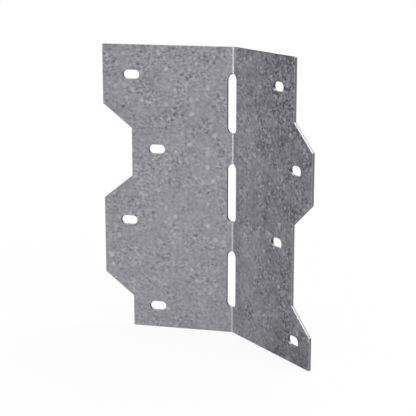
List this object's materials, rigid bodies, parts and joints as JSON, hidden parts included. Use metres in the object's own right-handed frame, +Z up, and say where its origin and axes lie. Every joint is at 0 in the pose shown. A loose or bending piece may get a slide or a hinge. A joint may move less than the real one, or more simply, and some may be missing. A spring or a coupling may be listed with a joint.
{
  "type": "reinforcing angle",
  "caption": "Galvanised steel reinforcing angle: one sheet folded to an obtuse angle, with zigzag sides, slotted nail holes and long slots along its fold.",
  "frame": {"origin": "heel of the fold at the bottom end, where the two back faces would meet with no radius", "axes": "+Z up along the fold, +Y out of the left leg's back face, -X out along the left leg; the right leg turns 45 degrees towards -Y"},
  "size_m": [0.0985, 0.0415, 0.1238],
  "materials": {
    "galvanised_sheet": "galvanised, matt, fine grey mottle"
  },
  "bodies": {
    "root": {"angle_plate": "galvanised_sheet"}
  },
  "joints": []
}
